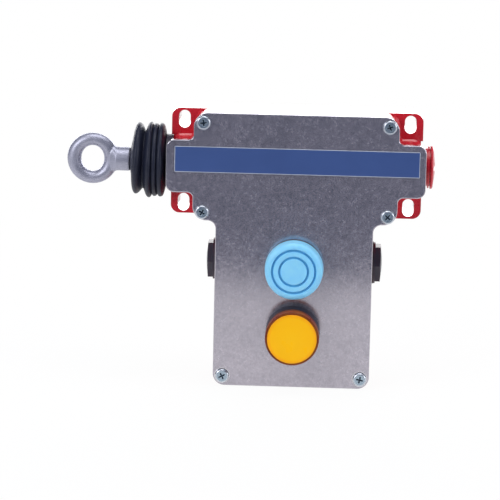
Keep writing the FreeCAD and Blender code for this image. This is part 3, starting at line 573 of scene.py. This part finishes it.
def make_boot():
    centre = node_centre("reset_boot")
    profile = smooth_line(BOOT_OUTER, 4) + [Vector(p) for p in BOOT_INNER]
    place = on_cover(centre.x, centre.z)

    def build(bm):
        turn_profile(bm, profile, place, SKIN_STEPS)

    piece = new_piece("boot_skin", build, boot_silicone())
    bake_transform(piece)
    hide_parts("reset_boot")


# Eyebolt, in millimetres
EYE_HOLE_R = 6.7
EYE_SHANK_R = 6.5
EYE_CHAMFER = 0.6
EYE_NECK_R = 9.0
EYE_NECK_PAST_HOLE = 1.6
EYE_NECK_DEPTH = 0.75
EYE_SHANK_IN_RING = 1.0
EYE_LAP = 0.2
EYE_SECTION_STEPS = 32
EYE_VOXEL = 0.35
EYE_SMOOTHING = 5
EYE_OVAL = -0.12


def make_eyebolt():
    """Ring, tapered neck and shank, remeshed into one casting with soft fillets."""
    low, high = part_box("eyebolt")
    outer_r = (high.z - low.z) / 2 / MM
    section_r = (outer_r - EYE_HOLE_R) / 2
    ring_r = EYE_HOLE_R + section_r
    centre_x = low.x / MM + outer_r
    end_x = high.x / MM
    neck_x = centre_x + EYE_HOLE_R + EYE_NECK_PAST_HOLE
    shank_x = centre_x + outer_r - EYE_SHANK_IN_RING

    def along_rod(along, radius, angle):
        return Vector((along, radius * math.cos(angle), radius * math.sin(angle)))

    def around_eye(u, v, angle):
        r = ring_r + u + (section_r - u) * EYE_OVAL * math.cos(2 * angle) / 2
        return Vector((centre_x + r * math.cos(angle), v, r * math.sin(angle)))

    def neck(along, radius, angle):
        share = (shank_x - along) / (shank_x - neck_x)
        thin = EYE_SHANK_R + (section_r * EYE_NECK_DEPTH - EYE_SHANK_R) * share
        return Vector((along, thin * math.cos(angle) * min(radius, 1.0), radius * math.sin(angle)))

    def build(bm):
        angles = [2 * math.pi * k / EYE_SECTION_STEPS for k in range(EYE_SECTION_STEPS)]
        section = [(section_r * math.cos(angle), section_r * math.sin(angle)) for angle in angles]
        turn_loop(bm, section, around_eye, TURN_STEPS)
        chamfer_x = end_x - EYE_CHAMFER
        shank = [(shank_x, 0.0), (shank_x, EYE_SHANK_R), (chamfer_x, EYE_SHANK_R)]
        shank += [(end_x, EYE_SHANK_R - EYE_CHAMFER), (end_x, 0.0)]
        turn_profile(bm, shank, along_rod, TURN_STEPS)
        lap_x = shank_x + EYE_LAP
        taper = [(neck_x, 0.0), (neck_x, EYE_NECK_R), (lap_x, EYE_SHANK_R), (lap_x, 0.0)]
        turn_profile(bm, taper, neck, TURN_STEPS)

    rough = new_piece("eyebolt_rough", build, galvanised())
    remesh = rough.modifiers.new("remesh", "REMESH")
    remesh.mode = "VOXEL"
    remesh.voxel_size = EYE_VOXEL
    smooth = rough.modifiers.new("smooth", "SMOOTH")
    smooth.iterations = EYE_SMOOTHING
    solid = rough.evaluated_get(bpy.context.evaluated_depsgraph_get())
    mesh = bpy.data.meshes.new_from_object(solid)
    bpy.data.objects.remove(rough)
    mesh.transform(Matrix.Translation((0, ROD_Y, 0)) @ Matrix.Scale(MM, 4))
    for face in mesh.polygons:
        face.use_smooth = True
    piece = bpy.data.objects.new("eyebolt_casting", mesh)
    bpy.context.scene.collection.objects.link(piece)
    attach(piece, "pull_rod")
    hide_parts("eyebolt")


# Cover screws, in millimetres from the cover's front
SCREW_PLACES = [(50.2, 24.1), (50.3, -24.8), (37.7, -115.4)]
SCREW_TOP = 1.9
SCREW_SEAT = -0.5
SCREW_TIP = -13.5
SCREW_R = 1.95
SCREW_HEAD_R = 3.8
SCREW_FLAT_R = 2.9
SCREW_FLAT_RINGS = 26
SCREW_RIM = [(1.84, 3.1), (1.66, 3.4), (1.35, 3.65), (0.95, 3.78), (0.6, SCREW_HEAD_R)]
SCREW_STEPS = 120
CROSS_HALF = 1.9
CROSS_WIDTH = 0.42
CROSS_DEPTH = 1.1
CROSS_FLANK = 0.16
CROSS_END = 0.35
# How far the screws of each row are turned, in radians: the right one and the left one
SCREW_TURNS = [(0.35, 0.1), (0.85, -0.5), (1.35, -1.1)]


def cross_depth(x, z):
    """Depth of a cross recess at a point of the head."""
    deepest = 0.0
    for a, b in ((x, z), (z, x)):
        across = min(max((CROSS_WIDTH - abs(a)) / CROSS_FLANK, 0.0), 1.0)
        along = min(max((CROSS_HALF - abs(b)) / CROSS_END, 0.0), 1.0)
        deepest = max(deepest, across * along)
    return CROSS_DEPTH * deepest


def make_screw(bm, centre_x, centre_z, turn):
    def place(height, radius, angle):
        x = radius * math.cos(angle)
        z = radius * math.sin(angle)
        if radius <= SCREW_FLAT_R and height > 0:
            u = x * math.cos(turn) + z * math.sin(turn)
            v = z * math.cos(turn) - x * math.sin(turn)
            height -= cross_depth(u, v)
        return Vector(((centre_x + x) * MM, FRONT - height * MM, (centre_z + z) * MM))

    flat = [(SCREW_TOP, SCREW_FLAT_R * k / SCREW_FLAT_RINGS) for k in range(SCREW_FLAT_RINGS + 1)]
    seat = [(SCREW_SEAT, SCREW_HEAD_R), (SCREW_SEAT, SCREW_R)]
    shank = [(SCREW_TIP, SCREW_R), (SCREW_TIP, 0.0)]
    turn_profile(bm, flat + SCREW_RIM + seat + shank, place, SCREW_STEPS, closed=False)


def make_screws():
    def build(bm):
        for (x, z), (right_turn, left_turn) in zip(SCREW_PLACES, SCREW_TURNS):
            make_screw(bm, x, z, right_turn)
            make_screw(bm, -x, z, left_turn)

    piece = new_piece("cover_screw_heads", build, screw_zinc(), "casing")
    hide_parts("cover_screws")


# Web between each lug and the rounded corner beside it, in millimetres: (X, Z) section, and its reach in Y
WEB_SECTION = [(52.55, 29.09), (49.1, 29.09), (48.6, 28.8), (50.5, 27.6), (52.55, 26.6)]
WEB_FRONT = -22.49
WEB_REAR = -0.2
WEB_CHAMFER = 0.6


def make_lug_webs(red):
    top = max(z for x, z in WEB_SECTION)
    stations = [(WEB_FRONT, top), (-WEB_CHAMFER, top), (WEB_REAR, top - (WEB_CHAMFER + WEB_REAR))]

    def build(bm):
        for side in (-1, 1):
            for level in (-1, 1):
                rings = []
                for y, highest in stations:
                    places = [(side * x, y, level * min(z, highest)) for x, z in WEB_SECTION]
                    rings.append([bm.verts.new(Vector(place) * MM) for place in places])
                for a, b in zip(rings, rings[1:]):
                    for k in range(len(a)):
                        n = (k + 1) % len(a)
                        bm.faces.new((a[k], b[k], b[n], a[n]))
                bm.faces.new(rings[0])
                bm.faces.new(rings[-1])

    piece = new_piece("lug_webs", build, red, "casing")
    for face in piece.data.polygons:
        face.use_smooth = False


def make_soft_spring(name):
    """A copy of a spring's CAD mesh in its place, with the node hidden."""
    node = nodes[name]
    piece = bpy.data.objects.new(name + "_wire", node.data.copy())
    piece.matrix_world = node.matrix_world.copy()
    bpy.context.scene.collection.objects.link(piece)
    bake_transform(piece)
    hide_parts(name)


def make_springs():
    make_soft_spring("rod_spring")
    make_soft_spring("reset_spring")


def finish_nodes():
    """Gives every CAD node that stays in view its finish."""
    steel = plated("zinc_plate", (0.62, 0.66, 0.74), 0.3)
    turned = plated("turned_steel", (0.66, 0.66, 0.68), 0.24)
    spring = plated("spring_wire", (0.42, 0.42, 0.44), 0.3)
    bronze = plated("bronze", (0.70, 0.48, 0.20), 0.3)
    black = moulded("black_plastic", (0.026, 0.025, 0.042), 0.44)
    grey = moulded("grey_plastic", (0.24, 0.25, 0.26), 0.5)
    white = moulded("white_plastic", (0.72, 0.72, 0.68), 0.45)
    rubber = moulded("black_rubber", (0.018, 0.018, 0.020), 0.65, 0.08, 0.2)
    finishes = {
        "housing": red_paint(),
        "end_cap": moulded("red_plastic", (0.50, 0.010, 0.024), 0.30),
        "cover_plate": cover_metal(),
        "label_strip": label_print(),
        "lens": amber_lens(),
        "lamp": moulded("lamp_glass", (0.86, 0.84, 0.74), 0.3),
        "reset_plunger": moulded("blue_plastic", (0.05, 0.26, 0.68), 0.35),
    }
    groups = {
        steel: [
            "cover_screws", "eyebolt", "eyebolt_nut", "mechanism_plate", "plate_screws", "trip_lever",
            "block_screws",
        ],
        turned: ["pull_rod", "cam_spool", "spring_seat", "lever_pin"],
        spring: ["rod_circlip", "rod_spring", "reset_clip", "reset_spring"],
        bronze: ["rod_bush_left", "rod_bush_right", "terminal_screws", "earth_screw"],
        black: [
            "bellows_collar", "cable_plug_left", "cable_plug_right", "reset_collar", "reset_nut",
            "lens_bezel", "lens_nut", "bellows", "reset_boot",
        ],
        grey: ["contact_block_left", "contact_block_right", "lamp_holder"],
        white: ["lever_roller", "contact_slider"],
        rubber: ["cover_gasket", "plug_washers"],
    }
    for material, names in groups.items():
        for name in names:
            finishes[name] = material
    for name, node in nodes.items():
        node.material_slots[0].material = finishes[name]


def make_floor():
    """White floor that shows as plain white, a little less so near the object, where it takes shadow."""
    z = cad_bounds[0][2] - FLOOR_DROP
    side = FLOOR_REACH
    corners = [(-side, FLOOR_FRONT, z), (side, FLOOR_FRONT, z), (side, side, z), (-side, side, z)]
    mesh = bpy.data.meshes.new("floor")
    mesh.from_pydata(corners, [], [(0, 1, 2, 3)])
    floor = bpy.data.objects.new("floor", mesh)
    bpy.context.scene.collection.objects.link(floor)
    t = Tree("floor")
    mesh.materials.append(t.material)
    t.set(Base_Color=FLOOR_COLOUR, Roughness=FLOOR_ROUGHNESS)
    glow = t.nodes.new("ShaderNodeEmission")
    glow.inputs["Strength"].default_value = FLOOR_GLOW
    path = t.nodes.new("ShaderNodeLightPath").outputs
    seen = t.maths("MAXIMUM", path["Is Camera Ray"], path["Is Glossy Ray"])
    seen = t.maths("MAXIMUM", seen, path["Is Transmission Ray"])
    share = t.maths("MULTIPLY", seen, t.span(t.axis("Y"), FLOOR_NEAR, FLOOR_FAR, FLOOR_NEAR_SHARE, 1.0))
    mixer = t.nodes.new("ShaderNodeMixShader")
    t.links.new(share, mixer.inputs[0])
    t.links.new(t.shader.outputs[0], mixer.inputs[1])
    t.links.new(glow.outputs[0], mixer.inputs[2])
    t.links.new(mixer.outputs[0], t.nodes["Material Output"].inputs["Surface"])


def make_world():
    """Plain soft light, and a white background for the camera alone."""
    world = bpy.data.worlds.new("studio")
    bpy.context.scene.world = world
    world.use_nodes = True
    tree = world.node_tree
    soft = tree.nodes["Background"]
    white = tree.nodes.new("ShaderNodeBackground")
    for node, colour in ((soft, WORLD_COLOUR), (white, BACKGROUND_COLOUR)):
        node.inputs["Color"].default_value = (*colour, 1)
        node.inputs["Strength"].default_value = 1.0
    path = tree.nodes.new("ShaderNodeLightPath")
    mixer = tree.nodes.new("ShaderNodeMixShader")
    tree.links.new(path.outputs["Is Camera Ray"], mixer.inputs[0])
    tree.links.new(soft.outputs[0], mixer.inputs[1])
    tree.links.new(white.outputs[0], mixer.inputs[2])
    tree.links.new(mixer.outputs[0], tree.nodes["World Output"].inputs["Surface"])


def make_lamp(name, place, aim, size, power):
    data = bpy.data.lights.new(name, "AREA")
    data.shape = "RECTANGLE"
    data.size, data.size_y = size
    data.energy = power
    lamp = bpy.data.objects.new(name, data)
    turn = (Vector(place) - Vector(aim)).to_track_quat("Z", "Y").to_matrix().to_4x4()
    lamp.matrix_world = Matrix.Translation(place) @ turn
    lamp.visible_camera = False
    bpy.context.scene.collection.objects.link(lamp)


make_camera()
finish_nodes()
make_bellows()
make_boot()
make_eyebolt()
make_screws()
make_springs()
make_lug_webs(nodes["housing"].material_slots[0].material)
make_floor()
make_world()
for lamp in LAMPS:
    make_lamp(*lamp)
bpy.context.scene.view_settings.view_transform = "Standard"
